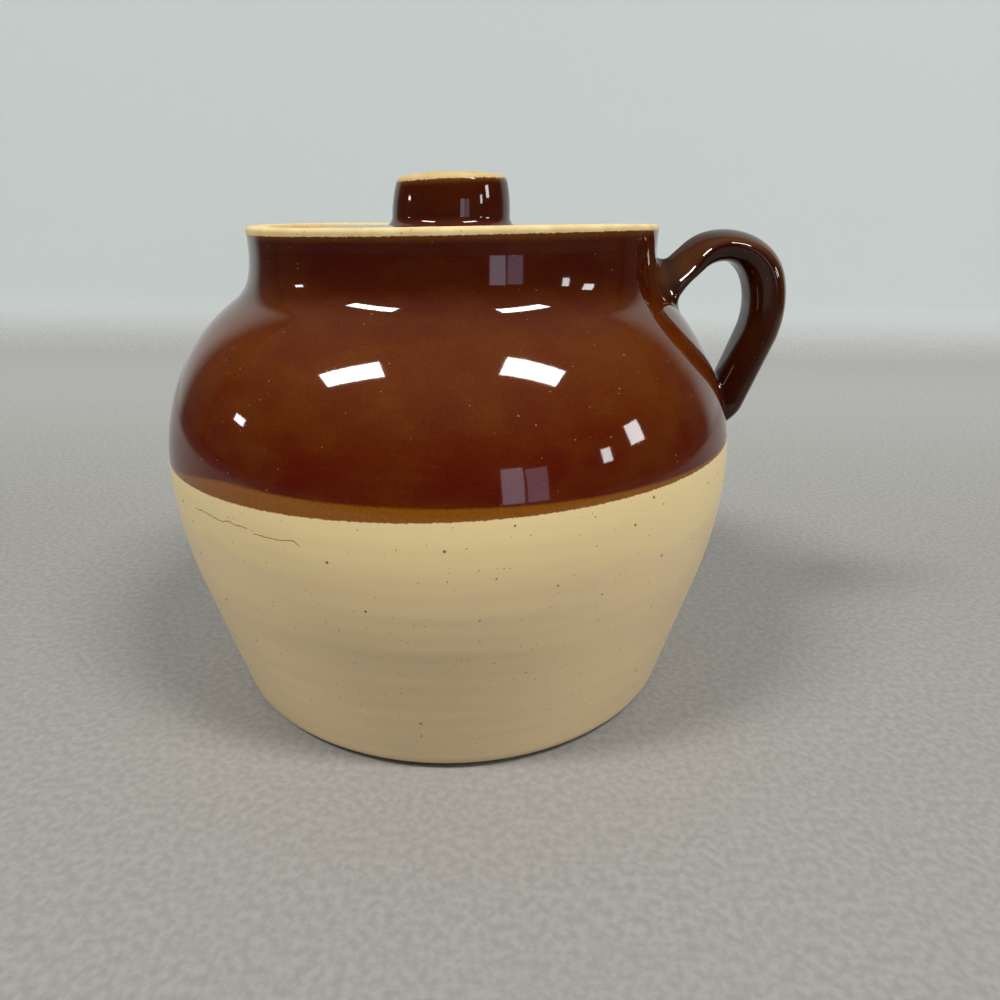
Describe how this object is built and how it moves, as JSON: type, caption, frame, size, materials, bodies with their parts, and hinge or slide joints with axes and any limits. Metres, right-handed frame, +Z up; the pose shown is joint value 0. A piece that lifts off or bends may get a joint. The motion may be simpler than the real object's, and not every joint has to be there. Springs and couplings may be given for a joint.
{
  "type": "lidded bean pot",
  "caption": "Round-bellied stoneware bean pot with a short neck, a loop handle and a drop-in lid with a flat-topped knob.",
  "frame": {"origin": "centre of the foot ring, on the surface that the pot stands on", "axes": "+Z up along the pot's axis, +X towards the handle"},
  "size_m": [0.2003, 0.184, 0.1636],
  "materials": {
    "pot_clay": "cream stoneware with a satin glaze below and a glossy red-brown glaze on the upper half",
    "handle_glaze": "glossy red-brown glaze",
    "lid_glaze": "glossy red-brown glaze on top, dry cream clay where it rests",
    "knob_glaze": "glossy red-brown glaze with a dry cream top"
  },
  "bodies": {
    "pot": {"pot_body": "pot_clay", "handle": "handle_glaze"},
    "lid_assembly": {"lid": "lid_glaze", "lid_knob": "knob_glaze"}
  },
  "joints": [
    {"name": "lid_lift", "type": "slide", "parent": "pot", "child": "lid_assembly", "axis": [0, 0, 1], "range_m": [0, 0.12]}
  ]
}
